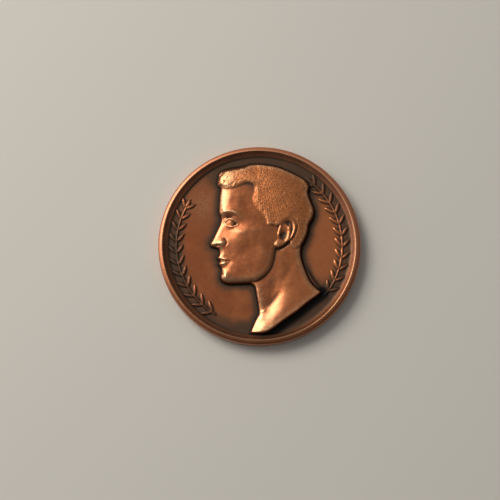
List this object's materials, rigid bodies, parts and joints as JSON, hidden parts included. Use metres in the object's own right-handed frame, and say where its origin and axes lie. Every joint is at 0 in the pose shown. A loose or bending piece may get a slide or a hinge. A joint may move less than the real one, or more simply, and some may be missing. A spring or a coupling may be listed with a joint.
{
  "type": "commemorative medal",
  "caption": "Round struck medal with a raised rim, a profile bust in relief between laurel sprigs and a plain reverse.",
  "frame": {"origin": "on the resting plane under the centre of the medal", "axes": "+Z out of the obverse, +Y up on the obverse towards the top of the head, +X to the right of the obverse"},
  "size_m": [0.06, 0.06, 0.0062],
  "materials": {
    "patinated_copper": "copper or tombac with a dark brown patina in the recesses, rubbed bright on the raised parts, satin gloss"
  },
  "bodies": {
    "root": {"struck_medal": "patinated_copper"}
  },
  "joints": []
}
